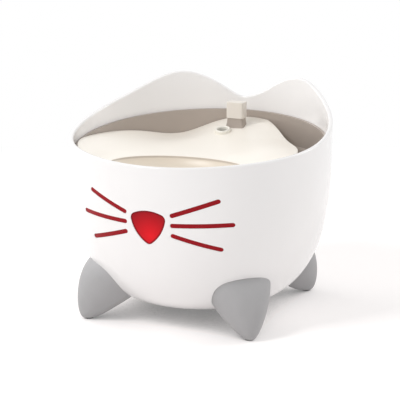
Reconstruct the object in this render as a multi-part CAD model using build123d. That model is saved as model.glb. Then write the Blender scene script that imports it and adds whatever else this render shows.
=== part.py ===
"""Pet water fountain: a round bowl with a cat's ears, a lifting drinking tray, a filter and a pump.

Millimetres. +Z is up, the ground is z = 0, the bowl's axis is the Z axis and the face looks along -Y.
Each function makes one piece, or one group of like pieces, where it sits on the assembled fountain.
"""
from build123d import *
from math import asin, atan2, cos, degrees, exp, hypot, pi, radians, sin
import os

# ---- bowl shell -------------------------------------------------------------------------------
bowl_radius = 110.0
bowl_wall = 3.6
bowl_bottom_z = 9.2
bowl_shoulder_z = 137.2
roundness_out = 3.91
roundness_down = 2.46
rim_rounding = 1.4
# rim height against the angle from the back of the bowl, in degrees
rim_heights = {0: 164.2, 8: 169.0, 18: 179.6, 32: 186.0, 43: 181.2, 58: 170.0, 73: 161.6, 86: 155.8,
               106: 149.6, 137: 145.6, 180: 143.1}
ear_clearance = 20.0
form_top_z = max(rim_heights.values()) + ear_clearance

# ---- face -------------------------------------------------------------------------------------
# the point and the corners of the nose before they are rounded, and how far its sides bow out
nose_point_z = 79.3
nose_corner_z = 103.5
nose_top_z = 107.9
nose_half_width = 15.2
nose_side_bow = 3.5
nose_corner_radius = 5.0
nose_tip_radius = 4.0
whisker_width = 3.7
# inner and outer end of each whisker's centre line, across and up
whisker_ends = [((20.2, 105.2), (54.0, 117.1)), ((20.2, 97.0), (63.2, 97.6)), ((20.2, 88.6), (54.4, 77.4))]
lens_recess = 0.4
lens_clearance = 0.12
lens_flange = 1.8
lens_plate = 1.4
face_reach = 5.0
whisker_plate_inner_x = 17.4
whisker_plate_margin = 4.0

# ---- reservoir tub ----------------------------------------------------------------------------
tub_inset = 8.0
tub_wall = 2.4
tub_bottom_z = 28.0
tub_collar_gap = 0.3
flare_bottom_z = 118.0
flare_top_z = 126.0
ledge_z = 142.0
ledge_slope = 0.097
tub_disc_radius = 38.0
tub_disc_drop = 1.7
pad_top_z = 34.0
pad_margin = 2.0
pocket_inset = 16.0
pocket_radius = bowl_radius - pocket_inset
pocket_half_angle = 14.0
pocket_wall_angle = 1.6
pocket_low_z = 66.0
pocket_high_z = 114.0
rest_angles = (-150.0, -100.0, -52.0, 52.0, 172.0)
rest_width = 3.0
rest_reach = 9.0
rest_height = 22.0

# ---- drinking tray ----------------------------------------------------------------------------
tray_inset = 6.9
tray_radius = bowl_radius - tray_inset
tray_skin = 2.4
tray_skirt = 2.2
tray_skirt_bottom_z = 126.0
tray_level_z = 133.0
# rise, centre x, centre y, reach x, reach y of each swell in the tray's surface
tray_swells = [(13.3, 6.5, 105.0, 60.0, 48.0), (11.8, -102.0, -117.5, 33.0, 166.0),
               (-7.0, -55.0, 84.5, 27.5, 38.5), (4.5, 58.0, 18.0, 30.0, 40.0)]
tray_grid_step = 7.5
# the flank that leaves the filling gap: angle from the front, and how far it is drawn in
tray_flank = [(151.0, 14.5), (129.1, 23.8), (108.7, 21.8), (95.7, 22.1), (81.8, 19.2)]
flank_back_angle = 167.0
flank_front_angle = 62.0
pool_x = 4.0
pool_half_length = 60.0
pool_half_width = 38.0
pool_margin = 8.1
pool_y = pool_half_width + pool_margin - tray_radius
pool_blend = 0.35
pool_wall = 2.2
# depth below the tray's level, and share of the rim's half sizes, of the pool's sections
pool_sections = [(0.0, 1.0), (3.0, 0.975), (8.0, 0.88), (11.0, 0.74), (12.5, 0.52)]
tray_lift_gap = 0.3

# ---- outlet ring and riser --------------------------------------------------------------------
outlet_x = -5.5
outlet_y = 63.5
ring_radius = 7.05
ring_bore_radius = 4.6
ring_height = 3.2
ring_seat_depth = 2.0
ring_inner_fall = 1.0
riser_radius = 6.0
riser_bore_radius = 4.5
riser_collar_radius = 9.0
riser_collar = 2.0
seal_section = 1.0
running_gap = 0.3

# ---- grip post --------------------------------------------------------------------------------
post_x = 1.8
post_y = 78.2
cap_length = 15.8
cap_depth = 11.4
cap_height = 14.4
cap_bottom_z = 149.6
cap_overhang = 0.6
cap_rounding = 2.0
post_flare = 1.6
# shares of the post's height at which it keeps half its flare, and half its inset under the cap
post_flare_share = 0.3
post_waist_share = 0.65
tenon_length = 8.0
tenon_depth = 5.0
tenon_height = 9.0
post_screw_radius = 1.5
post_screw_length = 14.0

# ---- feet -------------------------------------------------------------------------------------
foot_angles = {"front_left": 225.0, "front_right": 315.0, "rear_left": 135.0, "rear_right": 45.0}
pad_thickness = 1.0
pad_radius = 3.4
# height, inner and outer inset from the bowl's radius, and half width of each level of a foot
foot_levels = [(pad_thickness, 14.0, 3.6, 3.9), (3.0, 21.0, 2.0, 6.9), (8.0, 30.8, 0.4, 11.3),
               (20.0, 50.8, 0.0, 19.7), (34.0, 58.2, 2.8, 25.2), (49.0, 60.2, 12.6, 27.6),
               (60.0, 60.8, 22.0, 28.6)]
foot_screw_inset = 30.0
foot_screw_reach = bowl_radius - foot_screw_inset
foot_boss_radius = 5.0
foot_boss_top_z = 40.0
screw_radius = 1.6
screw_length = 22.0
screw_head_radius = 3.1
screw_head = 2.0
screw_clearance = 0.1
screw_slot = 0.8

# ---- light behind the face --------------------------------------------------------------------
light_half_width = 18.0
light_low_z = 76.0
light_high_z = 112.0
light_gap = 3.2
light_back_y = -(pocket_radius + light_gap)
light_wall = 1.6
board_thickness = 1.6
led_places = [(0.0, 88.0), (-7.0, 101.0), (7.0, 101.0)]
led_size = 2.8
led_height = 1.2
light_screw_z = 72.0
light_tab = 8.0

# ---- level probes -----------------------------------------------------------------------------
probe_x = 8.0
probe_z = 45.0
probe_radius = 1.2
probe_outside = 8.0
probe_inside = 10.0
grommet_radius = 3.2
grommet_proud = 3.6

# ---- power port and control board -------------------------------------------------------------
port_z = 40.0
port_width = 13.0
port_height = 9.0
port_recess = 3.0
port_depth = 8.6
port_bore_radius = 2.8
port_bore_depth = 7.0
port_pin_radius = 0.8
port_pin_recess = 1.0
port_fit = 0.15
bezel_rim = 1.6
bezel_thickness = 1.2
board_length = 44.0
board_width = 30.0
board_z = 20.0
board_inset = 4.0
standoff_radius = 3.0
# left, right, front and back edge, and height of each part on the control board
board_parts = [(-6.0, 6.0, -5.0, 5.0, 1.4), (9.0, 13.0, -4.0, 4.0, 2.4), (-14.0, -10.0, -9.0, 9.0, 3.0)]
board_screw_grip = 2.4
board_screw_radius = 1.2
board_screw_head_radius = 2.16
pillar_radius = 4.0
pillar_reach = 33.0

# ---- pump -------------------------------------------------------------------------------------
pump_x = -5.0
pump_front_y = 6.0
pump_back_y = 46.0
pump_width = 40.0
pump_bottom_z = 38.0
pump_height = 38.0
pump_rounding = 4.0
pump_wall = 2.5
pump_lid = 2.0
axis_z = 60.0
cover_thickness = 3.0
chamber_radius = 13.0
chamber_depth = 10.0
well_radius = 8.6
well_wall = 1.4
well_depth = 26.0
nozzle_y = 41.0
nozzle_radius = 6.0
nozzle_bore_radius = 4.0
nozzle_height = 8.0
rotor_radius = 7.4
rotor_length = 22.0
shaft_radius = 1.2
shaft_gap = 0.05
hub_radius = 4.0
blade_count = 5
blade_length = 7.6
blade_thickness = 1.4
rotor_end_gap = 0.6
bush_radius = 3.0
bush_length = 2.0
core_half = 15.0
core_length = 14.0
core_leg = 4.4
coil_margin = 1.6
coil_half = 7.6
coil_gap = 0.4
coil_overhang = 3.0
coil_top_gap = 0.6
core_gap = 0.2
core_top_inset = 2.0
slot_count = 9
slot_width = 1.6
slot_length = 12.0
dial_radius = 7.0
dial_thickness = 2.4
dial_peg_radius = 2.0
dial_peg_proud = 1.0
dial_pointer_half = 1.0
dial_pointer_reach = 3.0
dial_slot_gap = 1.0
cup_radius = 5.5
cup_stem_radius = 2.2
cup_inset = 7.0
cup_hollow = 1.0
cup_lip = 1.0
cup_neck = 1.0
bay_gap = 4.0
bay_start_y = pump_front_y + pump_lid + bay_gap
well_end_y = pump_back_y - chamber_depth - well_depth
rotor_start_y = well_end_y + bush_length + rotor_end_gap

# ---- filter -----------------------------------------------------------------------------------
filter_y = 44.0
filter_radius = 32.0
filter_wall = 1.8
filter_seat_gap = 0.3
filter_height = 26.0
filter_lid = 3.0
carbon_height = 10.0
foam_height = 9.0
media_gap = 0.4
lid_socket_height = 7.0
lid_socket_wall = 1.8
lid_lip = 3.0

filter_bottom_z = pump_bottom_z + pump_height + filter_seat_gap
filter_top_z = filter_bottom_z + filter_height + filter_lid
riser_bottom_z = filter_top_z + running_gap


# ---- helpers ----------------------------------------------------------------------------------
def block(x0, x1, y0, y1, z0, z1):
    """A box between two corners."""
    return Pos((x0 + x1) / 2, (y0 + y1) / 2, (z0 + z1) / 2) * Box(x1 - x0, y1 - y0, z1 - z0)


def rod(x, y, z0, z1, radius):
    """An upright cylinder."""
    return Pos(x, y, (z0 + z1) / 2) * Cylinder(radius, z1 - z0)


def rod_y(x, z, y0, y1, radius):
    """A cylinder that lies along Y."""
    return Pos(x, (y0 + y1) / 2, z) * Rot(90, 0, 0) * Cylinder(radius, y1 - y0)


def round_block(x0, x1, y0, y1, z0, z1, radius):
    """A box with its four upright edges rounded."""
    outline = Pos((x0 + x1) / 2, (y0 + y1) / 2, z0) * RectangleRounded(x1 - x0, y1 - y0, radius)
    return extrude(outline, z1 - z0)


def spun(points):
    """A solid turned about Z from (radius, height) corners, the first and last on the axis."""
    return revolve(Plane.XZ * make_face(Polyline(*points, close=True)), Axis.Z)


def group(pieces):
    """Several separate solids in one node."""
    return Compound(children=list(pieces))


def bowl_curve(radius, bottom, top=bowl_shoulder_z, steps=14):
    """A bowl's side, from one height down to the middle of its floor."""
    drop = bowl_shoulder_z - bottom

    def place(turn):
        across = radius * max(cos(turn), 0) ** (2 / roundness_out)
        return Vector(across, bowl_shoulder_z - drop * sin(turn) ** (2 / roundness_down))

    start = asin(((bowl_shoulder_z - top) / drop) ** (roundness_down / 2))
    points = [place(start + (pi / 2 - start) * step / steps) for step in range(steps)]
    heading = place(start + 0.001) - points[0]
    return Spline(*points, (0, bottom), tangents=[heading, (-1, 0)])


def bowl_form(radius, bottom, top):
    """A filled bowl: the curved side up to the shoulder, and upright above it."""
    side = bowl_curve(radius, bottom)
    frame = Polyline((0, bottom), (0, top), (radius, top), (radius, bowl_shoulder_z))
    return revolve(Plane.XZ * make_face([side, *frame.edges()]), Axis.Z)


def shell_form(inset):
    """The bowl's outer form, brought in by an inset all round."""
    return bowl_form(bowl_radius - inset, bowl_bottom_z + inset, form_top_z + inset)


def bowl_reach(z, radius, bottom):
    """How far a bowl's side stands from its axis at one height."""
    fall = (bowl_shoulder_z - z) / (bowl_shoulder_z - bottom)
    return radius * (1 - fall ** roundness_down) ** (1 / roundness_out)


def polar(angle, radius):
    """A point at an angle from the front, positive towards +X."""
    return (radius * sin(radians(angle)), -radius * cos(radians(angle)))


# ---- bowl shell -------------------------------------------------------------------------------
def rim_edge(radius):
    """The rim's height carried round the bowl at one radius."""
    half = sorted(rim_heights.items())
    mirrored = [(360 - angle, height) for angle, height in reversed(half[1:-1])]
    points = [(radius * sin(radians(a)), radius * cos(radians(a)), h) for a, h in half + mirrored]
    return Edge.make_spline([Vector(*point) for point in points], periodic=True)


def above_rim():
    """All that lies above the rim, as a closed ring."""
    surface = Face.make_surface_from_curves(rim_edge(bowl_radius - 2 * bowl_wall),
                                            rim_edge(bowl_radius + 2 * bowl_wall))
    return extrude(surface, amount=max(rim_heights.values()), dir=(0, 0, 1))


def nose_outline(grow=0.0):
    """The nose as seen from the front: a domed top and two bowed sides, with rounded corners."""
    rise, drop = nose_top_z - nose_corner_z, nose_corner_z - nose_point_z
    length = hypot(nose_half_width, drop)
    top_radius = (nose_half_width ** 2 + rise ** 2) / (2 * rise)
    side_radius = (length ** 2 / 4 + nose_side_bow ** 2) / (2 * nose_side_bow)
    outward = Vector(drop, -nose_half_width) / length
    top_middle = Vector(0, nose_top_z - top_radius)
    side_middle = Vector(nose_half_width / 2, (nose_corner_z + nose_point_z) / 2)
    side_middle -= outward * (side_radius - nose_side_bow)
    top_radius, side_radius = top_radius + grow, side_radius + grow
    apart = side_middle - top_middle
    along = (top_radius ** 2 - side_radius ** 2 + apart.length ** 2) / (2 * apart.length)
    aside = (top_radius ** 2 - along ** 2) ** 0.5
    corner = top_middle + (apart * along + Vector(apart.Y, -apart.X) * aside) / apart.length
    point = (0, side_middle.Y - (side_radius ** 2 - side_middle.X ** 2) ** 0.5)
    bowed = side_middle + outward * side_radius
    top = ThreePointArc((-corner.X, corner.Y), top_middle + (0, top_radius), corner)
    right = ThreePointArc(corner, bowed, point)
    left = ThreePointArc(point, (-bowed.X, bowed.Y), (-corner.X, corner.Y))
    face = make_face([top, right, left])
    face = fillet(face.vertices().sort_by(Axis.Y)[0], nose_tip_radius + grow)
    return fillet(face.vertices().group_by(Axis.Y)[-1], nose_corner_radius + grow)


def whisker_outline(ends, side, grow=0.0):
    """One whisker as seen from the front: a straight bar with round ends."""
    (x0, z0), (x1, z1) = ends
    bar = SlotCenterToCenter(hypot(x1 - x0, z1 - z0), whisker_width + 2 * grow)
    middle = Location((side * (x0 + x1) / 2, (z0 + z1) / 2, 0))
    slope = Vector(side * (x1 - x0), z1 - z0, 0)
    turn = Vector(1, 0, 0).get_signed_angle(slope, Vector(0, 0, 1))
    return middle * Rot(0, 0, turn) * bar


def through_front(outline):
    """An outline seen from the front, driven through the front wall."""
    return extrude(Plane.XZ * outline, amount=bowl_radius + face_reach, dir=(0, -1, 0))


def screw_places():
    """Where each foot's screw stands."""
    for angle in foot_angles.values():
        yield foot_screw_reach * cos(radians(angle)), foot_screw_reach * sin(radians(angle))


def port_face_y():
    """The power port's face stands a little inside the shell's outer surface."""
    return bowl_reach(port_z, bowl_radius, bowl_bottom_z) - port_recess


def port_block(grow=0.0):
    """The power port's body, which passes through the wall at the back."""
    half = port_width / 2 + grow
    low, high = port_z - port_height / 2 - grow, port_z + port_height / 2 + grow
    return block(-half, half, port_face_y() - port_depth, port_face_y() + grow, low, high)


def make_bowl_shell():
    shell = shell_form(0) - shell_form(bowl_wall) - above_rim()
    lowest_rim = min(rim_heights.values())
    rim = shell.edges().filter_by(lambda edge: edge.bounding_box().max.Z > lowest_rim)
    shell = fillet(rim.filter_by(lambda edge: edge.length > bowl_radius), rim_rounding)
    for x, y in screw_places():
        shell += rod(x, y, bowl_bottom_z, foot_boss_top_z, foot_boss_radius) & shell_form(bowl_wall / 2)
    for turn in range(4):
        x, y = polar(90 * turn, pillar_reach)
        top = tub_bottom_z - tub_disc_drop
        shell += rod(x, y, bowl_bottom_z + bowl_wall / 2, top, pillar_radius)
    for x, y in board_screw_places():
        shell += rod(x, y, bowl_bottom_z + bowl_wall / 2, board_z, standoff_radius)
        shell -= rod(x, y, bowl_bottom_z + bowl_wall, board_z, board_screw_radius + screw_clearance)
    shell -= through_front(nose_outline())
    for ends in whisker_ends:
        for side in (-1, 1):
            shell -= through_front(whisker_outline(ends, side))
    for x, y in screw_places():
        shell -= rod(x, y, 0, foot_boss_top_z, screw_radius + screw_clearance)
    shell -= extrude(Plane.XZ.offset(port_depth - port_face_y()) * port_opening(), amount=-bowl_radius)
    return shell


def port_opening():
    """The hole in the wall for the power port."""
    return Pos(0, port_z, 0) * Rectangle(port_width + 2 * port_fit, port_height + 2 * port_fit)


# ---- reservoir tub ----------------------------------------------------------------------------
def tub_form(wall, top):
    """The tub's filled form: a bowl whose top flares out to the shell."""
    radius = bowl_radius - tub_inset - wall
    bottom = tub_bottom_z + wall
    collar = bowl_radius - bowl_wall - tub_collar_gap - wall
    side = bowl_curve(radius, bottom, flare_bottom_z)
    frame = Polyline((0, bottom), (0, top), (collar, top), (collar, flare_top_z), side @ 0)
    return revolve(Plane.XZ * make_face([side, *frame.edges()]), Axis.Z)


def pocket(radius, low, high, half_angle):
    """The bay in the tub's front, for the light behind the face."""
    wedge_reach = 2 * bowl_radius
    left, right = polar(-half_angle, wedge_reach), polar(half_angle, wedge_reach)
    wedge = Pos(0, 0, low) * extrude(make_face(Polyline((0, 0), left, right, close=True)), high - low)
    return wedge - rod(0, 0, low - 1, high + 1, radius)


def above_ledge():
    """All that lies above the tub's sloping edge."""
    plane = Plane(origin=(0, 0, ledge_z), x_dir=(1, 0, 0), z_dir=(0, -ledge_slope, 1))
    return extrude(plane * Rectangle(4 * bowl_radius, 4 * bowl_radius), amount=bowl_radius)


def make_reservoir_tub():
    top = ledge_z + bowl_radius * ledge_slope + ear_clearance
    outside = tub_form(0, top) - pocket(pocket_radius, pocket_low_z, pocket_high_z, pocket_half_angle)
    room = tub_form(tub_wall, top + 1)
    room -= pocket(pocket_radius - tub_wall, pocket_low_z - tub_wall, pocket_high_z + tub_wall,
                   pocket_half_angle + pocket_wall_angle)
    tub = outside - room
    tub += rod(0, 0, tub_bottom_z - tub_disc_drop, tub_bottom_z + tub_wall, tub_disc_radius)
    pad = block(pump_x - pump_width / 2 - pad_margin, pump_x + pump_width / 2 + pad_margin,
                pump_front_y - pad_margin, pump_back_y + pad_margin, tub_bottom_z + 1, pad_top_z)
    tub += pad & outside
    rest_top = tray_skirt_bottom_z - tray_lift_gap
    for angle in rest_angles:
        fin = block(-rest_width / 2, rest_width / 2, -bowl_radius, -(tray_radius - rest_reach),
                    rest_top - rest_height, rest_top)
        tub += Rot(0, 0, angle) * fin & outside
    for side in (-1, 1):
        tub -= probe_rod(side, probe_outside, probe_inside, grommet_radius)
    return tub - above_ledge()


# ---- feet -------------------------------------------------------------------------------------
def make_foot(angle):
    """A soft cone like a cat's ear, point down, cut to sit against the bowl."""
    levels = []
    for height, inner, outer, half_width in foot_levels:
        middle = bowl_radius - (inner + outer) / 2
        levels.append(Pos(middle, 0, height) * Ellipse((inner - outer) / 2, half_width))
    foot = Rot(0, 0, angle) * loft(levels)
    foot -= shell_form(0)
    x, y = foot_screw_reach * cos(radians(angle)), foot_screw_reach * sin(radians(angle))
    return foot - rod(x, y, foot_boss_top_z - screw_length, foot_boss_top_z, screw_radius)


def make_foot_pads():
    _, inner, outer, _ = foot_levels[0]
    reach = bowl_radius - (inner + outer) / 2
    return group(Rot(0, 0, angle) * rod(reach, 0, 0, pad_thickness, pad_radius)
                 for angle in foot_angles.values())


def screw(x, y, seat_z, length, radius, head_radius, head):
    """A screw standing upright with its head on a seat."""
    body = rod(x, y, seat_z - length, seat_z, radius) + rod(x, y, seat_z, seat_z + head, head_radius)
    half = screw_slot / 2
    cut = block(x - head_radius, x + head_radius, y - half, y + half, seat_z + head / 2, seat_z + 2 * head)
    return body - cut


def make_foot_screws():
    return group(screw(x, y, foot_boss_top_z, screw_length, screw_radius, screw_head_radius, screw_head)
                 for x, y in screw_places())


# ---- face lenses and their light --------------------------------------------------------------
def lens_band(outer_inset, inner_inset):
    """The space between two insets of the bowl's form."""
    return shell_form(outer_inset) - shell_form(inner_inset)


def make_nose_lens():
    face = through_front(nose_outline(-lens_clearance)) & lens_band(lens_recess, bowl_wall + lens_plate)
    back = through_front(nose_outline(lens_flange)) & lens_band(bowl_wall, bowl_wall + lens_plate)
    return face + back


def make_whisker_lens(side):
    """Three bars on one curved plate, for one cheek."""
    xs = [x for ends in whisker_ends for x, _ in ends]
    zs = [z for ends in whisker_ends for _, z in ends]
    plate = block(whisker_plate_inner_x, max(xs) + whisker_plate_margin, -bowl_radius, 0,
                  min(zs) - whisker_plate_margin, max(zs) + whisker_plate_margin)
    if side < 0:
        plate = mirror(plate, Plane.YZ)
    lens = plate & lens_band(bowl_wall, bowl_wall + lens_plate)
    for ends in whisker_ends:
        bar = through_front(whisker_outline(ends, side, -lens_clearance))
        lens += bar & lens_band(lens_recess, bowl_wall + lens_plate)
    return lens


def make_light_box():
    """The white frame that keeps the light behind the nose and whiskers."""
    front = shell_form(bowl_wall + lens_plate)
    frame = block(-light_half_width, light_half_width, -bowl_radius, light_back_y, light_low_z,
                  light_high_z)
    hollow = block(-light_half_width + light_wall, light_half_width - light_wall, -bowl_radius,
                   light_back_y + 1, light_low_z + light_wall, light_high_z - light_wall)
    tab = block(-light_half_width, light_half_width, light_back_y - light_wall, light_back_y,
                light_low_z - light_tab, light_low_z)
    box = (frame - hollow + tab) & front
    for side in (-1, 1):
        box -= rod_y(side * light_half_width / 2, light_screw_z, light_back_y - 2 * light_wall,
                     light_back_y, board_screw_radius)
    return box


def make_led_board():
    """The small board closing the light box, with a tab for its two screws."""
    board = block(-light_half_width, light_half_width, light_back_y, light_back_y + board_thickness,
                  light_low_z - light_tab, light_high_z)
    for side in (-1, 1):
        board -= rod_y(side * light_half_width / 2, light_screw_z, light_back_y - 1,
                       light_back_y + 2 * board_thickness, board_screw_radius + screw_clearance)
    return board


def make_face_leds():
    half = led_size / 2
    return group(block(x - half, x + half, light_back_y - led_height, light_back_y, z - half, z + half)
                 for x, z in led_places)


def make_led_screws():
    seat = light_back_y + board_thickness
    screws = []
    for side in (-1, 1):
        upright = screw(0, 0, 0, board_thickness + light_wall, board_screw_radius,
                        board_screw_head_radius, board_screw_radius)
        screws.append(Pos(side * light_half_width / 2, seat, light_screw_z) * Rot(-90, 0, 0) * upright)
    return group(screws)


# ---- level probes -----------------------------------------------------------------------------
def probe_rod(side, outside, inside, radius):
    """A rod through the tub's wall, on the line of one probe."""
    wall_y = -bowl_reach(probe_z, bowl_radius - tub_inset, tub_bottom_z)
    return rod_y(side * probe_x, probe_z, wall_y - outside, wall_y + inside, radius)


def make_level_probes():
    return group(probe_rod(side, probe_outside, probe_inside, probe_radius) for side in (-1, 1))


def make_probe_grommets():
    """Soft sleeves that seal the probes in the tub's wall."""
    inside = tub_wall + grommet_proud
    return group(probe_rod(side, grommet_proud, inside, grommet_radius)
                 - probe_rod(side, grommet_proud, inside, probe_radius) for side in (-1, 1))


# ---- power port and control board -------------------------------------------------------------
def make_power_port():
    face, bore_end = port_face_y(), port_face_y() - port_bore_depth
    body = port_block() - rod_y(0, port_z, bore_end, face, port_bore_radius)
    return body + rod_y(0, port_z, bore_end, face - port_pin_recess, port_pin_radius)


def make_port_bezel():
    """The soft frame round the port, inside the wall."""
    outer = block(-port_width / 2 - bezel_rim, port_width / 2 + bezel_rim, 0, bowl_radius,
                  port_z - port_height / 2 - bezel_rim, port_z + port_height / 2 + bezel_rim)
    frame = outer & lens_band(bowl_wall, bowl_wall + bezel_thickness)
    return frame - port_block(port_fit)


def board_screw_places():
    for across in (-1, 1):
        for along in (-1, 1):
            yield across * (board_length / 2 - board_inset), along * (board_width / 2 - board_inset)


def make_control_board():
    half_length, half_width = board_length / 2, board_width / 2
    top = board_z + board_thickness
    board = block(-half_length, half_length, -half_width, half_width, board_z, top)
    for x, y in board_screw_places():
        board -= rod(x, y, board_z - 1, top + 1, board_screw_radius + screw_clearance)
    for left, right, front, back, height in board_parts:
        board += block(left, right, front, back, top, top + height)
    return board


def make_board_screws():
    top = board_z + board_thickness
    length = board_thickness + board_screw_grip
    return group(screw(x, y, top, length, board_screw_radius, board_screw_head_radius, board_screw_radius)
                 for x, y in board_screw_places())


# ---- drinking tray ----------------------------------------------------------------------------
def tray_height(x, y):
    """Height of the tray's surface: level round the pool, with swells towards its edges."""
    across = (x - pool_x) / pool_half_length
    along = (y - pool_y) / pool_half_width
    share = min(max((hypot(across, along) - 1) / pool_blend, 0), 1)
    blend = share * share * (3 - 2 * share)
    rise = 0
    for height, swell_x, swell_y, reach_x, reach_y in tray_swells:
        rise += height * exp(-((x - swell_x) / reach_x) ** 2 - ((y - swell_y) / reach_y) ** 2)
    return tray_level_z + blend * rise


def tray_surface(drop=0.0):
    """The tray's top as one smooth face, lowered by a drop."""
    count = round(2 * (tray_radius + tray_grid_step) / tray_grid_step)
    places = [(index - count / 2) * tray_grid_step for index in range(count + 1)]
    grid = [[Vector(x, y, tray_height(x, y) - drop) for x in places] for y in places]
    return Face.make_surface_from_array_of_points(grid)


def tray_outline(inset=0.0):
    """The tray from above: a circle with one flank drawn in, brought in by an inset all round."""
    radius = tray_radius - inset
    start, end = polar(flank_back_angle, radius), polar(flank_front_angle, radius)
    far = polar((flank_back_angle + flank_front_angle) / 2 + 180, radius)
    flank = [polar(angle, radius - drawn_in) for angle, drawn_in in tray_flank]
    return make_face([ThreePointArc(end, far, start), Spline(start, *flank, end)])


def pool_form(grow, drop):
    """The pool's cup, from just above the tray down to its floor."""
    levels = [Pos(pool_x, pool_y, tray_level_z + 1) * Ellipse(pool_half_length + grow,
                                                              pool_half_width + grow)]
    for depth, share in pool_sections:
        ellipse = Ellipse(pool_half_length * share + grow, pool_half_width * share + grow)
        levels.append(Pos(pool_x, pool_y, tray_level_z - depth - drop) * ellipse)
    return loft(levels)


def make_drinking_tray():
    above = extrude(tray_surface(), amount=bowl_radius, dir=(0, 0, 1))
    below_skin = extrude(tray_surface(tray_skin), amount=bowl_radius, dir=(0, 0, -1))
    low, tall = tray_skirt_bottom_z, ledge_z - tray_skirt_bottom_z + ear_clearance
    tray = Pos(0, 0, low) * extrude(tray_outline(), tall) - above
    tray -= Pos(0, 0, low) * extrude(tray_outline(tray_skirt), tall) & below_skin
    half_skin = extrude(tray_surface(tray_skin / 2), amount=bowl_radius, dir=(0, 0, -1))
    tray += pool_form(pool_wall, tray_skin) & half_skin
    tray -= pool_form(0, 0)
    tray -= rod(post_x, post_y, low, ledge_z + ear_clearance, post_screw_radius)
    return tray - rod(outlet_x, outlet_y, low, ledge_z + ear_clearance, riser_radius + running_gap / 2)


# ---- outlet ring and riser --------------------------------------------------------------------
def make_outlet_ring():
    """The dished ring that the water wells up through, leaning with the tray's slope."""
    rise = tray_height(outlet_x, outlet_y + ring_radius) - tray_height(outlet_x, outlet_y - ring_radius)
    lean = degrees(atan2(rise, 2 * ring_radius))
    bore, rim = ring_bore_radius, ring_radius
    middle, low, top = (bore + rim) / 2, -ring_seat_depth, ring_height
    shoulder = top - (rim - bore) / 2
    inner = shoulder - ring_inner_fall
    crown = Spline((rim, shoulder), (middle, top), (bore, inner), tangents=[(0, 1), (0, -1)])
    side = Polyline((bore, inner), (bore, low), (rim, low), (rim, shoulder))
    ring = revolve(Plane.XZ * make_face([crown, *side.edges()]), Axis.Z)
    ring = Pos(outlet_x, outlet_y, tray_height(outlet_x, outlet_y)) * Rot(lean, 0, 0) * ring
    return ring - extrude(tray_surface(), amount=bowl_radius, dir=(0, 0, -1))


def riser_top_z():
    """The riser ends just under the lowest point of the tray's surface round its mouth."""
    return lowest_surface_z(outlet_x, outlet_y, riser_radius) - tray_skin / 4


def lowest_surface_z(x, y, reach):
    """The lowest point of the tray's surface on a circle."""
    return min(tray_height(x + reach * cos(radians(turn)), y + reach * sin(radians(turn)))
               for turn in range(0, 360, 15))


def make_riser_tube():
    """The tube that carries water from the filter up to the outlet."""
    x, y = outlet_x, outlet_y
    collar_top = seal_top_z() - seal_section
    tube = rod(x, y, riser_bottom_z, riser_top_z(), riser_radius)
    tube += rod(x, y, collar_top - riser_collar, collar_top, riser_collar_radius)
    return tube - rod(x, y, riser_bottom_z - 1, riser_top_z() + 1, riser_bore_radius)


def seal_top_z():
    """The lowest point of the tray's underside above the riser's collar."""
    return lowest_surface_z(outlet_x, outlet_y, riser_collar_radius) - tray_skin


def make_riser_seal():
    """The soft washer between the riser's collar and the tray."""
    top = seal_top_z()
    washer = rod(outlet_x, outlet_y, top - seal_section, top, riser_collar_radius)
    return washer - rod(outlet_x, outlet_y, top - 2 * seal_section, top + 1, riser_radius)


# ---- grip post --------------------------------------------------------------------------------
def make_post_base():
    """The flared foot of the post, with the tenon that the cap pushes on to."""
    low = tray_height(post_x, post_y) - 3 * post_flare
    spread = cap_overhang - post_flare
    sections = []
    insets = {0: spread, post_flare_share: spread / 2, post_waist_share: cap_overhang / 2, 1: cap_overhang}
    for share, inset in insets.items():
        outline = RectangleRounded(cap_length - 2 * inset, cap_depth - 2 * inset, cap_rounding)
        sections.append(Pos(post_x, post_y, low + share * (cap_bottom_z - low)) * outline)
    base = loft(sections) - extrude(tray_surface(), amount=bowl_radius, dir=(0, 0, -1))
    base += Pos(post_x, post_y, cap_bottom_z + tenon_height / 2) * Box(tenon_length, tenon_depth,
                                                                     tenon_height)
    low = tray_height(post_x, post_y) - tray_skin
    return base - rod(post_x, post_y, low, low + post_screw_length, post_screw_radius)


def make_post_cap():
    """The pale cap of the post, lifted off for cleaning."""
    low, high = cap_bottom_z + running_gap / 2, cap_bottom_z + cap_height
    cap = round_block(post_x - cap_length / 2, post_x + cap_length / 2, post_y - cap_depth / 2,
                      post_y + cap_depth / 2, low, high, cap_rounding)
    cap = fillet(cap.edges().group_by(Axis.Z)[-1], cap_overhang)
    socket = Box(tenon_length + 2 * running_gap, tenon_depth + 2 * running_gap,
                 2 * (tenon_height + running_gap))
    return cap - Pos(post_x, post_y, cap_bottom_z) * socket


def make_post_screw():
    """The screw that holds the post from under the tray."""
    low = lowest_surface_z(post_x, post_y, 2 * post_screw_radius) - tray_skin
    upright = screw(0, 0, 0, post_screw_length, post_screw_radius, 2 * post_screw_radius, post_screw_radius)
    return Pos(post_x, post_y, low) * Rot(180, 0, 0) * upright


# ---- filter -----------------------------------------------------------------------------------
def make_filter_housing():
    """The round cup over the pump that holds the filter pads."""
    x, y, top = pump_x, filter_y, filter_bottom_z + filter_height
    floor = filter_bottom_z + filter_wall
    cup = rod(x, y, filter_bottom_z, top, filter_radius) - rod(x, y, floor, top, filter_radius - filter_wall)
    return cup - rod(pump_x, nozzle_y, filter_bottom_z - 1, floor + 1, nozzle_radius + running_gap)


def media_pad(low, height):
    """One round filter pad with room round the pump's nozzle."""
    body = rod(pump_x, filter_y, low, low + height, filter_radius - filter_wall - media_gap)
    return body - rod(pump_x, nozzle_y, low - 1, low + height + 1, nozzle_radius + 2 * media_gap)


def make_filter_foam():
    return media_pad(filter_bottom_z + filter_wall, foam_height)


def make_carbon_filter():
    low = filter_bottom_z + filter_wall + foam_height
    return rod(pump_x, filter_y, low, low + carbon_height, filter_radius - filter_wall - media_gap)


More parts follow.
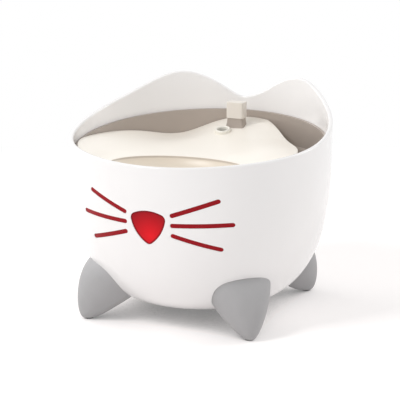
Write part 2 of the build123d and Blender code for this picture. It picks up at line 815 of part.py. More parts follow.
def make_filter_lid():
    """The lid of the filter cup, with the socket for the riser."""
    x, y, low = pump_x, filter_y, filter_bottom_z + filter_height
    lid = rod(x, y, low, low + filter_lid, filter_radius)
    lip = rod(x, y, low - lid_lip, low, filter_radius - filter_wall - media_gap)
    lid += lip - rod(x, y, low - lid_lip, low, filter_radius - 2 * filter_wall - media_gap)
    bore = riser_radius + running_gap
    lid += rod(outlet_x, outlet_y, low, filter_top_z + lid_socket_height, bore + lid_socket_wall)
    lid -= rod(outlet_x, outlet_y, filter_top_z, filter_top_z + lid_socket_height, bore)
    return lid - rod(outlet_x, outlet_y, low - 1, filter_top_z + 1, riser_bore_radius)


# ---- pump -------------------------------------------------------------------------------------
def make_pump_housing():
    """The pump's body: a dry bay for the motor, a wet well for the rotor and the impeller chamber."""
    half, top = pump_width / 2, pump_bottom_z + pump_height
    body = block(pump_x - half, pump_x + half, pump_front_y, pump_back_y, pump_bottom_z, top)
    body = fillet(body.edges().filter_by(Axis.Y), pump_rounding)
    body += rod(pump_x, nozzle_y, top, top + nozzle_height, nozzle_radius)
    bay_end = pump_back_y - chamber_depth - pump_wall
    bay = block(pump_x - half + pump_wall, pump_x + half - pump_wall, pump_front_y, bay_end,
                pump_bottom_z + pump_wall, top - pump_wall)
    well = rod_y(pump_x, axis_z, well_end_y - well_wall, bay_end, well_radius + well_wall)
    body -= bay - well
    body -= rod_y(pump_x, axis_z, well_end_y, pump_back_y, well_radius)
    body -= rod_y(pump_x, axis_z, pump_back_y - chamber_depth, pump_back_y, chamber_radius)
    return body - rod(pump_x, nozzle_y, axis_z, top + nozzle_height, nozzle_bore_radius)


def make_pump_end_plate():
    """The plate that closes the motor's dry bay."""
    half = pump_width / 2 - pump_wall
    return block(pump_x - half, pump_x + half, pump_front_y, pump_front_y + pump_lid,
                 pump_bottom_z + pump_wall, pump_bottom_z + pump_height - pump_wall)


def make_intake_cover():
    """The slotted cover over the impeller, with the pivot of the flow dial."""
    half = pump_width / 2
    low, high = pump_back_y, pump_back_y + cover_thickness
    cover = block(pump_x - half, pump_x + half, low, high, pump_bottom_z, pump_bottom_z + pump_height)
    cover = fillet(cover.edges().filter_by(Axis.Y), pump_rounding)
    for turn in range(slot_count):
        reach = dial_radius + dial_slot_gap + slot_length / 2
        slot = Pos(reach, 0, 0) * Box(slot_length, slot_width, 4 * cover_thickness)
        cover -= Pos(pump_x, high, axis_z) * Rot(90, 0, 0) * Rot(0, 0, 360 / slot_count * turn) * slot
    return cover + rod_y(pump_x, axis_z, high, high + dial_thickness + dial_peg_proud, dial_peg_radius)


def make_flow_dial():
    """The dial that turns on the cover to set the flow."""
    low = pump_back_y + cover_thickness + running_gap
    dial = rod_y(pump_x, axis_z, low, low + dial_thickness, dial_radius)
    dial += block(pump_x - dial_pointer_half, pump_x + dial_pointer_half, low, low + dial_thickness,
                  axis_z, axis_z + dial_radius + dial_pointer_reach)
    return dial - rod_y(pump_x, axis_z, low - 1, low + dial_thickness + 1, dial_peg_radius + shaft_gap)


def make_stator_core():
    """The laminated iron round the rotor's well."""
    low = bay_start_y + coil_margin
    core = block(pump_x - core_half, pump_x + core_half, low, low + core_length,
                 axis_z - core_half - core_leg, axis_z + core_half - core_top_inset)
    core -= rod_y(pump_x, axis_z, low - 1, low + core_length + 1, well_radius + well_wall + core_gap)
    window = block(pump_x - coil_half, pump_x + coil_half, low - 1, low + core_length + 1,
                   axis_z - core_half, axis_z - core_half + core_leg)
    return core - window


def make_stator_coil():
    """The winding round the core's lower leg."""
    low = bay_start_y + coil_margin
    half = coil_half - coil_gap
    coil = block(pump_x - half, pump_x + half, low - coil_overhang, low + core_length + coil_overhang,
                 pump_bottom_z + pump_wall, axis_z - core_half + core_leg - coil_top_gap)
    leg = block(pump_x - half, pump_x + half, low, low + core_length, axis_z - core_half - core_leg,
                axis_z - core_half)
    return coil - leg


def make_impeller_shaft():
    return rod_y(pump_x, axis_z, well_end_y, pump_back_y, shaft_radius)


def make_shaft_bushes():
    """The two bushes that hold the shaft's ends."""
    bushes = []
    for start in (well_end_y, pump_back_y - bush_length):
        ring = rod_y(pump_x, axis_z, start, start + bush_length, bush_radius)
        bushes.append(ring - rod_y(pump_x, axis_z, start, start + bush_length, shaft_radius))
    return group(bushes)


def make_rotor_magnet():
    start = rotor_start_y
    ring = rod_y(pump_x, axis_z, start, start + rotor_length, rotor_radius)
    return ring - rod_y(pump_x, axis_z, start, start + rotor_length, hub_radius)


def make_impeller():
    """The hub that carries the magnet, with its blades."""
    start, joint = rotor_start_y, rotor_start_y + rotor_length
    end = pump_back_y - bush_length - rotor_end_gap
    wheel = rod_y(pump_x, axis_z, start, end, hub_radius)
    wheel += rod_y(pump_x, axis_z, joint, joint + blade_thickness, rotor_radius)
    for turn in range(blade_count):
        reach = hub_radius - 1 + blade_length / 2
        blade = Pos(reach, 0, 0) * Box(blade_length, blade_thickness, end - joint - blade_thickness)
        place = Pos(pump_x, (end + joint + blade_thickness) / 2, axis_z) * Rot(90, 0, 0)
        wheel += place * Rot(0, 0, 360 / blade_count * turn) * blade
    return wheel - rod_y(pump_x, axis_z, start - 1, end + 1, shaft_radius + shaft_gap)


def make_suction_cups():
    """Four soft cups under the pump."""
    cups = []
    low, high = pad_top_z, pump_bottom_z
    for x in (pump_x - pump_width / 2 + cup_inset, pump_x + pump_width / 2 - cup_inset):
        for y in (pump_front_y + cup_inset, pump_back_y - cup_inset):
            cup = spun([(0, low + cup_hollow), (cup_radius - cup_lip, low), (cup_radius, low),
                        (cup_stem_radius, high - cup_neck), (cup_stem_radius, high), (0, high)])
            cups.append(Pos(x, y, 0) * cup)
    return group(cups)


# ---- the whole fountain -----------------------------------------------------------------------
def pieces():
    """Every node's name and the function that makes it."""
    made = {
        "bowl_shell": make_bowl_shell, "reservoir_tub": make_reservoir_tub, "foot_pads": make_foot_pads,
        "foot_screws": make_foot_screws, "nose_lens": make_nose_lens,
        "whisker_lens_left": lambda: make_whisker_lens(-1),
        "whisker_lens_right": lambda: make_whisker_lens(1), "light_box": make_light_box,
        "led_board": make_led_board, "face_leds": make_face_leds, "led_board_screws": make_led_screws,
        "level_probes": make_level_probes, "probe_grommets": make_probe_grommets,
        "power_port": make_power_port, "port_bezel": make_port_bezel,
        "control_board": make_control_board, "control_board_screws": make_board_screws,
        "drinking_tray": make_drinking_tray, "outlet_ring": make_outlet_ring,
        "riser_tube": make_riser_tube, "riser_seal": make_riser_seal, "post_base": make_post_base,
        "post_cap": make_post_cap, "post_screw": make_post_screw, "filter_housing": make_filter_housing,
        "filter_foam": make_filter_foam, "carbon_filter": make_carbon_filter,
        "filter_lid": make_filter_lid, "pump_housing": make_pump_housing,
        "pump_end_plate": make_pump_end_plate, "intake_cover": make_intake_cover,
        "flow_dial": make_flow_dial, "stator_core": make_stator_core, "stator_coil": make_stator_coil,
        "impeller_shaft": make_impeller_shaft, "shaft_bushes": make_shaft_bushes,
        "rotor_magnet": make_rotor_magnet, "impeller": make_impeller, "suction_cups": make_suction_cups,
    }
    for corner, angle in foot_angles.items():
        made["foot_" + corner] = lambda angle=angle: make_foot(angle)
    return made


def main():
    os.makedirs("parts", exist_ok=True)
    for name, make in pieces().items():
        export_step(make(), "parts/" + name + ".step")


if __name__ == "__main__":
    main()
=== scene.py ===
"""Pet water fountain: the dressed model around its CAD frame, laid out as an add-on.

Metres. +Z is up, the ground is z = 0, the bowl's axis is the Z axis and the face looks along -Y.
Each operator finishes one piece, or one group of like pieces, and the last one sets the stage.
"""

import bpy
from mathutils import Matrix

bl_info = {
    "name": "Pet Water Fountain",
    "version": (1, 0, 0),
    "blender": (4, 5, 0),
    "location": "View3D > Sidebar > Fountain",
    "description": "Finishes and stage of a bowl fountain with a lifting tray, a filter and a pump",
    "category": "Material",
}

from math import cos, radians, sin

import bmesh
import bpy
from bpy.props import FloatProperty, FloatVectorProperty, PointerProperty
from mathutils import Vector

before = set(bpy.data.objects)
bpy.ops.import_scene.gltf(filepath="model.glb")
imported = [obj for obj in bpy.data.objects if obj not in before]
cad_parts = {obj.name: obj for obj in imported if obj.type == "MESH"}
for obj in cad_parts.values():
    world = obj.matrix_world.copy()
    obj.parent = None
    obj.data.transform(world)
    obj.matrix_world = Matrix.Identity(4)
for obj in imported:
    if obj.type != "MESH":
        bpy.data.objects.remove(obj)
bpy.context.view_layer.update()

MM = 0.001
WHITE = (1.0, 1.0, 1.0)


# ---- shader building --------------------------------------------------------------------------
# Places of a Mix node's sockets for colours, whose names it repeats for each kind of data
MIX_FACTOR = 0
MIX_FIRST = 6
MIX_SECOND = 7
MIX_RESULT = 2


class Value:
    """A number socket. Arithmetic on it adds Math nodes to its tree."""

    def __init__(self, finish, socket):
        self.finish = finish
        self.socket = socket

    def math(self, operation, *terms):
        """A Math node on its terms, in their order."""
        return self.finish.value("ShaderNodeMath", {"operation": operation}, dict(enumerate(terms)))

    def __add__(self, other):
        return self.math("ADD", self, other)

    def __sub__(self, other):
        return self.math("SUBTRACT", self, other)

    def __rsub__(self, other):
        return self.math("SUBTRACT", other, self)

    def __mul__(self, other):
        return self.math("MULTIPLY", self, other)

    def __truediv__(self, other):
        return self.math("DIVIDE", self, other)

    def __pow__(self, other):
        return self.math("POWER", self, other)

    def __abs__(self):
        return self.math("ABSOLUTE", self)

    __radd__ = __add__
    __rmul__ = __mul__

    def fraction(self):
        """What is left of the value above a whole number."""
        return self.math("FRACT", self)

    def sine(self):
        """The sine of the value, in radians."""
        return self.math("SINE", self)

    def least(self, other):
        """The smaller of two values."""
        return self.math("MINIMUM", self, other)

    def clamped(self):
        """The value kept between 0 and 1."""
        return self.math("MAXIMUM", self, 0.0).least(1.0)

    def above(self, edge, softness):
        """0 below an edge and 1 above it, over a soft band."""
        return ((self - edge) / softness + 0.5).clamped()


class Finish:
    """A node tree in the making, of a material or of the world."""

    def __init__(self, owner):
        owner.use_nodes = True
        self.owner = owner
        self.tree = owner.node_tree
        self.tree.nodes.clear()

    def node(self, kind, settings=None, sockets=None):
        """Add a node: its settings first, then the values or links of its sockets."""
        made = self.tree.nodes.new(kind)
        for name, setting in (settings or {}).items():
            setattr(made, name, setting)
        for name, given in (sockets or {}).items():
            link = given.socket if isinstance(given, Value) else given
            if isinstance(link, bpy.types.NodeSocket):
                self.tree.links.new(link, made.inputs[name])
            else:
                made.inputs[name].default_value = link
        return made

    def value(self, kind, settings, sockets, output=0):
        """A new node's output as a Value."""
        return Value(self, self.node(kind, settings, sockets).outputs[output])

    def place(self):
        """Where the surface is in the fountain's own frame, in metres."""
        return self.node("ShaderNodeTexCoord").outputs["Object"]

    def axes(self):
        """The three parts of place, in millimetres."""
        split = self.node("ShaderNodeSeparateXYZ", None, {0: self.place()})
        return [Value(self, output) / MM for output in split.outputs]

    def noise(self, grain, detail=2.0, stretch=(1.0, 1.0, 1.0)):
        """Soft noise whose grain is given in metres."""
        scaled = self.node("ShaderNodeVectorMath", {"operation": "MULTIPLY"},
                           {0: self.place(), 1: [part / grain for part in stretch]})
        return self.value("ShaderNodeTexNoise", None,
                          {"Vector": scaled.outputs[0], "Scale": 1.0, "Detail": detail})

    def cells(self, grain):
        """Distance to the nearest point of a scatter whose grain is given in metres."""
        return self.value("ShaderNodeTexVoronoi", None, {"Vector": self.place(), "Scale": 1.0 / grain})

    def mix(self, factor, first, second):
        """Blend two colours by a factor."""
        mixed = self.node("ShaderNodeMix", {"data_type": "RGBA"},
                          {MIX_FACTOR: factor, MIX_FIRST: rgba(first), MIX_SECOND: rgba(second)})
        return mixed.outputs[MIX_RESULT]

    def drift(self, colour, value, darker, paler):
        """A colour that a value from 0 to 1 takes from a share darker to a share paler."""
        return self.mix(value, lighter(colour, -darker), lighter(colour, paler))

    def bump(self, height, depth, strength=1.0):
        """A normal that a height from 0 to 1 bends, over a depth in metres."""
        return self.node("ShaderNodeBump", None,
                         {"Height": height, "Distance": depth, "Strength": strength}).outputs[0]

    def shade(self, colour, roughness, normal, **sockets):
        """End the tree in the main shader."""
        given = {"Base Color": rgba(colour), "Roughness": roughness, "Normal": normal}
        given.update({name.replace("_", " "): value for name, value in sockets.items()})
        shader = self.node("ShaderNodeBsdfPrincipled", None, given)
        self.node("ShaderNodeOutputMaterial", None, {"Surface": shader.outputs[0]})
        return self.owner


def new_finish(name):
    """An empty finish for a material of this name."""
    return Finish(bpy.data.materials.new(name))


def rgba(colour):
    """A colour as a socket takes it: a link as it is, and numbers with their alpha."""
    return colour if isinstance(colour, bpy.types.NodeSocket) else (*colour[:3], 1.0)


def lighter(colour, share):
    """A colour brought towards white, or towards black where the share is negative."""
    goal = 1.0 if share > 0 else 0.0
    return tuple(part + (goal - part) * abs(share) for part in colour[:3])


def swing(middle, value, width):
    """A number that a value from 0 to 1 moves by a width, half of it to each side of its middle."""
    return middle + width * (value - 0.5)


# ---- finishes ---------------------------------------------------------------------------------
# The tray, in millimetres below its level: where the pool's painted shade starts, and where the painted
# shadow along the top of its wall ends
POOL_SHADE_START = 0.25
POOL_SHADE_FADE = 0.3
SHADOW_LINE_END = 1.6
SHADOW_LINE_FADE = 1.2
SHADOW_LINE_SHARE = 0.85

# The nose's painted shadow of its slot's wall, in millimetres inside its outline, and how much of its tone
# it takes
EDGE_SHADOW_BAND = 1.3
EDGE_SHADOW_FADE = 1.2
OUTLINE_FADE = 0.5
EDGE_SHADOW_SHARE = 0.75

# What repeats in each millimetre of the boards, the iron and the coil
TRACKS_PER_MM = 0.55
SHEETS_PER_MM = 2.0
WIRE_RADIANS_PER_MM = 18.0


def gloss_shell(name, colour, roughness):
    """Injection-moulded gloss plastic with a faint orange peel and a slight cloud in its polish."""
    finish = new_finish(name)
    cloud = finish.noise(45.0 * MM)
    peel = finish.noise(3.5 * MM, detail=1.0)
    tone = finish.drift(colour, cloud, darker=0.015, paler=0.03)
    return finish.shade(tone, swing(roughness, cloud, width=0.05),
                        finish.bump(peel, 0.01 * MM, strength=0.35))


def satin_plastic(name, colour, roughness, grain=0.6 * MM, relief=0.015 * MM):
    """Fine-textured plastic whose tone drifts a little over its surface."""
    finish = new_finish(name)
    cloud = finish.noise(30.0 * MM)
    texture = finish.noise(grain, detail=3.0)
    tone = finish.drift(colour, cloud, darker=0.03, paler=0.03)
    return finish.shade(tone, swing(roughness, texture, width=0.08), finish.bump(texture, relief))


def tray_plastic(name, colours, tray, roughness):
    """Satin cream plastic, with painted shade in the pool and a painted shadow line where its wall drops
    away.
    """
    finish = new_finish(name)
    across, along, height = finish.axes()
    cloud = finish.noise(40.0 * MM)
    texture = finish.noise(0.8 * MM, detail=3.0)
    reach_x = (across - tray.pool_x / MM) / (tray.pool_half_length / MM)
    reach_y = (along - tray.pool_y / MM) / (tray.pool_half_width / MM)
    reach = (reach_x * reach_x + reach_y * reach_y) ** 0.5
    depth = tray.level / MM - height
    # painted shade: the recessed pool, below the tray's level, darkened to a tan
    inside = (1.0 - reach.above(edge=1.0, softness=0.01)) * depth.above(POOL_SHADE_START, POOL_SHADE_FADE)
    # painted shadow: a darker band along the top of the pool's wall
    line = inside * (1.0 - depth.above(SHADOW_LINE_END, SHADOW_LINE_FADE))
    cream = finish.drift(colours.tray, cloud, darker=0.02, paler=0.04)
    pool_shaded = finish.mix(inside, cream, colours.pool)
    shadow_lined = finish.mix(line * SHADOW_LINE_SHARE, pool_shaded, colours.pool_line_shadow)
    return finish.shade(shadow_lined, swing(roughness, texture, width=0.06), finish.bump(texture, 0.01 * MM))


def soft_rubber(name, colour, roughness=0.62):
    """Soft-touch rubber with a fine matt grain and paler rubbed patches."""
    finish = new_finish(name)
    rubbed = finish.noise(12.0 * MM, detail=4.0)
    grain = finish.noise(0.4 * MM)
    tone = finish.drift(colour, rubbed, darker=0.04, paler=0.05)
    return finish.shade(tone, swing(roughness, rubbed, width=0.1), finish.bump(grain, 0.02 * MM))


def circle_gap(across, height, circle):
    """How far a point lies inside a circle of the nose's outline, in millimetres."""
    middle_x, middle_z, radius = [part / MM for part in circle]
    away_x, away_z = across - middle_x, height - middle_z
    return radius - (away_x * away_x + away_z * away_z) ** 0.5


def nose_edge_shadow(across, height, face):
    """Where the nose's painted edge shadow lies: 1 in a band inside the nose's outline, and 0 within it
    and beyond it, as on the whiskers.
    """
    side_x, side_z, side_radius = face.side_circle
    top, side, mirrored = [circle_gap(across, height, circle) for circle in
                           (face.top_circle, face.side_circle, (-side_x, side_z, side_radius))]
    gap = top.least(side).least(mirrored)
    return (1.0 - gap.above(EDGE_SHADOW_BAND, EDGE_SHADOW_FADE)) * gap.above(0.0, OUTLINE_FADE)


def lit_lens(name, colours, face, glow_share, roughness=0.3):
    """Translucent red plastic over lamps, with their light painted on: a painted glow makes it brightest
    in front of them and is given off though the lens is no lamp, and a painted shadow dims it towards its
    edge.
    """
    finish = new_finish(name)
    across, _, height = finish.axes()
    away_x = (across - face.glow_x / MM) / (face.glow_reach / MM)
    away_z = (height - face.glow_z / MM) / (face.glow_reach / MM)
    glow = (1.0 - (away_x * away_x + away_z * away_z) ** 0.5).clamped() * glow_share
    frost = finish.noise(0.9 * MM)
    edge = nose_edge_shadow(across, height, face)
    # painted glow: the red lifted towards the lit colour in front of the lamps
    red = finish.mix(glow, colours.lens, colours.lens_lit)
    # painted shadow: darker in a band inside the nose's outline, where the slot's wall shades the lens
    tone = finish.mix(edge * EDGE_SHADOW_SHARE, red, colours.lens_edge_shadow)
    unlit = lighter(colours.lens, share=-0.55)
    # painted glow: emission from the lens, which is no lamp, and none in the painted edge shadow
    emitted = finish.mix((glow * (1.0 - edge)).clamped(), unlit, colours.lens_glow)
    return finish.shade(tone, swing(roughness, frost, width=0.08), finish.bump(frost, 0.01 * MM),
                        Emission_Color=emitted, Emission_Strength=face.glow_strength,
                        Specular_IOR_Level=0.12)


def brushed_metal(name, colour, roughness):
    """Metal with fine turning marks."""
    finish = new_finish(name)
    marks = finish.noise(0.3 * MM, stretch=(1.0, 1.0, 12.0))
    tone = finish.drift(colour, marks, darker=0.1, paler=0.1)
    return finish.shade(tone, swing(roughness, marks, width=0.15), finish.bump(marks, 0.008 * MM),
                        Metallic=1.0)


def circuit_finish(name, colours, roughness):
    """Green solder mask over copper tracks, with tinned pads."""
    finish = new_finish(name)
    across = finish.axes()[0]
    lanes = (across * TRACKS_PER_MM).fraction()
    pads = 1.0 - finish.cells(3.2 * MM).above(edge=0.2, softness=0.05)
    track = 1.0 - abs(lanes - 0.5).above(edge=0.12, softness=0.03)
    mask = finish.mix(track, colours.board, lighter(colours.board, share=0.16))
    tone = finish.mix(pads, mask, colours.steel)
    return finish.shade(tone, roughness + 0.1 * pads, finish.bump(pads + track * 0.5, 0.04 * MM))


def laminated_iron(name, colour, roughness):
    """A stack of thin sheets with a seam between each two."""
    finish = new_finish(name)
    along = finish.axes()[1]
    sheets = (along * SHEETS_PER_MM).fraction()
    seam = 1.0 - abs(sheets - 0.5).above(edge=0.1, softness=0.1)
    tone = finish.mix(seam, colour, lighter(colour, share=-0.5))
    return finish.shade(tone, roughness + 0.2 * seam, finish.bump(1.0 - seam, 0.05 * MM), Metallic=0.8)


def wound_wire(name, colour, roughness):
    """Enamelled wire laid side by side, with painted shade between the turns and a painted highlight on
    them.
    """
    finish = new_finish(name)
    along = finish.axes()[1]
    turns = ((along * WIRE_RADIANS_PER_MM).sine() + 1.0) * 0.5
    # painted shade in the grooves between turns and painted highlight on their crests
    tone = finish.drift(colour, turns, darker=0.5, paler=0.1)
    return finish.shade(tone, roughness + 0.2 * (1.0 - turns), finish.bump(turns, 0.1 * MM),
                        Metallic=0.6, Coat_Weight=0.5)


def open_foam(name, colour, roughness):
    """Open-cell foam: a web of pores, with painted shade darkening each pore's middle."""
    finish = new_finish(name)
    pores = finish.cells(1.1 * MM).above(edge=0.35, softness=0.3)
    # painted shade: darker towards the middle of each pore, where its hollow is shaded
    tone = finish.drift(colour, pores, darker=0.35, paler=0.0)
    return finish.shade(tone, roughness + 0.05 * pores, finish.bump(pores, 0.5 * MM))


def carbon_felt(name, colour, roughness):
    """Felt over carbon granules: lumps under short fibres."""
    finish = new_finish(name)
    lumps = finish.cells(2.4 * MM)
    fibres = finish.noise(0.2 * MM, detail=4.0)
    tone = finish.drift(colour, fibres, darker=0.3, paler=0.12)
    return finish.shade(tone, roughness + 0.1 * fibres, finish.bump(lumps + fibres * 0.3, 0.4 * MM))


def dress(material, *names):
    """Give CAD nodes a finish."""
    for name in names:
        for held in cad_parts[name].material_slots:
            held.material = material


# ---- settings ---------------------------------------------------------------------------------
def colour_setting(name, description, default):
    """A colour that a user may change."""
    return FloatVectorProperty(name=name, description=description, default=default, size=3,
                               subtype="COLOR", min=0.0, max=1.0)


def length_setting(name, description, default, low=-10.0):
    """A length or a place in metres that a user may change."""
    return FloatProperty(name=name, description=description, default=default, min=low,
                         unit="LENGTH", precision=5)


def circle_setting(name, description, default):
    """A circle in the face's plane: its middle across, its middle's height and its radius."""
    return FloatVectorProperty(name=name, description=description, default=default, size=3,
                               unit="LENGTH", precision=5)


def angle_setting(name, description, degrees):
    """An angle that a user may change."""
    return FloatProperty(name=name, description=description, default=radians(degrees), subtype="ANGLE")


def power_setting(name, description, watts):
    """A lamp's power that a user may change."""
    return FloatProperty(name=name, description=description, default=watts, min=0.0, unit="POWER")


class FountainColours(bpy.types.PropertyGroup):
    """The colour of each finish"""
    shell: colour_setting("Shell", "Gloss plastic of the bowl", (0.90, 0.885, 0.88))
    tub: colour_setting("Tub", "Satin plastic of the reservoir", (0.42, 0.36, 0.315))
    tray: colour_setting("Tray", "Satin plastic of the drinking tray", (0.96, 0.91, 0.83))
    # Painted shade of the recessed pool, and the painted shadow along the top of its wall
    pool: colour_setting("Pool", "Tint of the drinking pool", (0.76, 0.68, 0.575))
    pool_line_shadow: colour_setting("Pool line", "Line round the top of the pool's wall", (0.50, 0.44, 0.38))
    ring: colour_setting("Ring", "Plastic of the outlet ring", (0.90, 0.87, 0.79))
    cap: colour_setting("Cap", "Plastic of the grip's cap", (0.78, 0.725, 0.66))
    foot: colour_setting("Feet", "Soft rubber of the feet", (0.38, 0.375, 0.38))
    pad: colour_setting("Pads", "Rubber under the feet", (0.14, 0.14, 0.14))
    lens: colour_setting("Lens", "Red plastic of the face, unlit", (0.27, 0.005, 0.010))
    # Painted shadow of the slot's wall round the nose's edge
    lens_edge_shadow: colour_setting("Lens edge", "Red plastic where it meets the shell", (0.12, 0.003, 0.008))
    # Lit lens and lens glow: the painted glow of the lamps behind the face, in the colour and as emission
    lens_lit: colour_setting("Lit lens", "Red plastic in front of a lamp", (0.50, 0.006, 0.012))
    lens_glow: colour_setting("Lens glow", "Light that the lens gives off", (0.9, 0.012, 0.018))
    lamp: colour_setting("Light box", "Pale plastic behind the face", (0.78, 0.78, 0.76))
    led: colour_setting("Lamps", "Clear lens of each lamp", (0.9, 0.7, 0.62))
    board: colour_setting("Board", "Solder mask of the boards", (0.01, 0.09, 0.035))
    steel: colour_setting("Steel", "Screws and probes", (0.62, 0.62, 0.63))
    seal: colour_setting("Seals", "Rubber of seals and grommets", (0.075, 0.075, 0.08))
    port: colour_setting("Port", "Plastic of the power port", (0.015, 0.015, 0.016))
    pump: colour_setting("Pump", "Plastic of the pump", (0.045, 0.048, 0.055))
    pump_pale: colour_setting("Pump cover", "Pale plastic of the pump", (0.64, 0.66, 0.68))
    iron: colour_setting("Iron", "Laminations of the motor", (0.11, 0.11, 0.115))
    copper: colour_setting("Copper", "Wire of the coil", (0.55, 0.17, 0.05))
    magnet: colour_setting("Magnet", "Sintered magnet of the rotor", (0.022, 0.022, 0.024))
    ceramic: colour_setting("Shaft", "Ceramic of the shaft", (0.83, 0.83, 0.79))
    filter_frame: colour_setting("Filter frame", "Plastic of the filter and riser", (0.80, 0.82, 0.82))
    foam: colour_setting("Foam", "Foam of the filter", (0.80, 0.80, 0.76))
    carbon: colour_setting("Carbon", "Felt of the carbon filter", (0.028, 0.028, 0.030))


class FountainTray(bpy.types.PropertyGroup):
    """Where the drinking pool lies in the tray, which the tray's painted shade fills"""
    level: length_setting("Level", "Height of the tray round its pool", 133.0 * MM)
    pool_x: length_setting("Pool across", "Pool's middle, across the fountain", 4.0 * MM)
    pool_y: length_setting("Pool along", "Pool's middle, from front to back", -57.0 * MM)
    pool_half_length: length_setting("Pool half length", "Half the pool's longer axis", 60.0 * MM)
    pool_half_width: length_setting("Pool half width", "Half the pool's shorter axis", 38.0 * MM)


class FountainFace(bpy.types.PropertyGroup):
    """Where the face's painted glow lies, and the arcs of the nose's outline that bound its painted edge
    shadow
    """
    glow_x: length_setting("Glow across", "Middle of the glow, across", 2.0 * MM)
    glow_z: length_setting("Glow height", "Middle of the glow, above the ground", 87.0 * MM)
    glow_reach: length_setting("Glow reach", "How far the glow spreads", 22.0 * MM, 0.0)
    # Strength of the painted glow that the lens gives off
    glow_strength: FloatProperty(name="Glow strength", description="Light of the lens", default=0.35,
                                 min=0.0, max=2.0, subtype="FACTOR")
    top_circle: circle_setting("Nose top", "Middle and radius of the arc of its top",
                               (0.0, 79.45 * MM, 28.45 * MM))
    side_circle: circle_setting("Nose side", "Middle and radius of the arc of its right side",
                                (-15.62 * MM, 105.98 * MM, 30.92 * MM))


class FountainStage(bpy.types.PropertyGroup):
    """The camera, the floor and the lamps"""
    camera_distance: length_setting("Camera distance", "From the camera to its target", 1.208, 0.0)
    camera_height: length_setting("Target height", "Height that the camera looks at", 0.0918)
    camera_turn: angle_setting("Camera turn", "Turn from the front, to the right", 22.56)
    camera_tilt: angle_setting("Camera tilt", "Angle above the ground", 13.77)
    lens_length: FloatProperty(name="Lens", description="Focal length in millimetres", default=128.2,
                               min=1.0, subtype="DISTANCE_CAMERA")
    floor_radius: length_setting("Floor radius", "Reach of the floor", 12.0, 0.0)
    ambient: FloatProperty(name="Ambient", description="Light from all round", default=0.64, min=0.0)
    key_power: power_setting("Key", "Power of the large lamp on the left", 9.0)
    front_power: power_setting("Front", "Power of the high lamp in front, on the left", 14.5)
    rim_power: power_setting("Rim", "Power of the lamp behind, on the right", 8.5)


# ---- stage ------------------------------------------------------------------------------------
# The floor lies a little under the ground, and fades to plain white beyond the shadow's reach
FLOOR_DROP = 0.1 * MM
FLOOR_SIDES = 96
FLOOR_TONE = (0.80, 0.77, 0.762)
PAPER_GRAIN = 50.0 * MM
SHADOW_REACH = 0.55
SHADOW_FADE = 0.30

# What the floor gives off where it is seen, and what it gives off to the fountain
FLOOR_LIFT = (0.30, 0.30, 0.30)
FLOOR_BOUNCE = (0.17, 0.17, 0.17)

# A painted contact shadow: the seen floor darkens where things this near hide this share of what is above
# it
CONTACT_SHADOW_TONE = (0.03, 0.026, 0.025)
CONTACT_REACH = 50.0 * MM
CONTACT_START = 0.82
CONTACT_FADE = 0.32
CONTACT_SAMPLES = 12

# Each lamp's power is the setting named here. Turn is from +X about +Z, and is in degrees as tilt is
LAMPS = {"key_lamp": {"power": "key_power", "width": 0.9, "turn": 166.0, "tilt": 27.0},
         "front_lamp": {"power": "front_power", "width": 0.5, "turn": -126.0, "tilt": 44.0},
         "rim_lamp": {"power": "rim_power", "width": 0.8, "turn": 35.0, "tilt": 28.0}}
LAMP_DISTANCE = 2.0
LAMP_TARGET = (0.0, 0.0, 0.09)

SENSOR_WIDTH = 36.0
CAMERA_SHIFT = -0.0021


def seen_rays(finish):
    """1 for rays that show the background itself: from the camera, off gloss or through glass."""
    path = finish.node("ShaderNodeLightPath")
    camera, glossy, through = [Value(finish, path.outputs[name]) for name in
                               ("Is Camera Ray", "Is Glossy Ray", "Is Transmission Ray")]
    return (camera + glossy + through).clamped()


def floor_finish():
    """White paper that keeps the fountain's shadow, deepened by a painted contact shadow where nearby
    things hide the sky, and fades to plain white further out.
    """
    finish = new_finish("floor_finish")
    across, along, _ = finish.axes()
    reach = (across * across + along * along) ** 0.5 * MM
    paper = finish.drift(FLOOR_TONE, finish.noise(PAPER_GRAIN), darker=0.0, paler=0.05)
    hidden = 1.0 - finish.value("ShaderNodeAmbientOcclusion", {"samples": CONTACT_SAMPLES},
                                {"Distance": CONTACT_REACH}, "AO")
    shown = seen_rays(finish)
    # painted contact shadow: the seen floor darkened by how much of the sky nearby things hide
    contact_shadow = hidden.above(CONTACT_START, CONTACT_FADE) * shown
    lifted = shown * (1.0 - contact_shadow)
    near = finish.node("ShaderNodeBsdfPrincipled", None,
                       {"Base Color": finish.mix(contact_shadow, paper, CONTACT_SHADOW_TONE), "Roughness": 1.0,
                        "Emission Color": finish.mix(lifted, FLOOR_BOUNCE, FLOOR_LIFT),
                        "Emission Strength": 1.0, "Specular IOR Level": 0.0})
    far = finish.node("ShaderNodeEmission", None, {"Color": rgba(WHITE), "Strength": 1.0})
    faded = finish.node("ShaderNodeMixShader", None,
                        {0: reach.above(SHADOW_REACH, SHADOW_FADE), 1: near.outputs[0], 2: far.outputs[0]})
    finish.node("ShaderNodeOutputMaterial", None, {"Surface": faded.outputs[0]})
    return finish.owner


def lay_floor(stage):
    """A round floor, which isn't part of the fountain."""
    build = bmesh.new()
    bmesh.ops.create_circle(build, cap_ends=True, radius=stage.floor_radius, segments=FLOOR_SIDES)
    mesh = bpy.data.meshes.new("floor")
    build.to_mesh(mesh)
    build.free()
    mesh.materials.append(floor_finish())
    floor = bpy.data.objects.new("floor", mesh)
    floor.location.z = -FLOOR_DROP
    bpy.context.scene.collection.objects.link(floor)


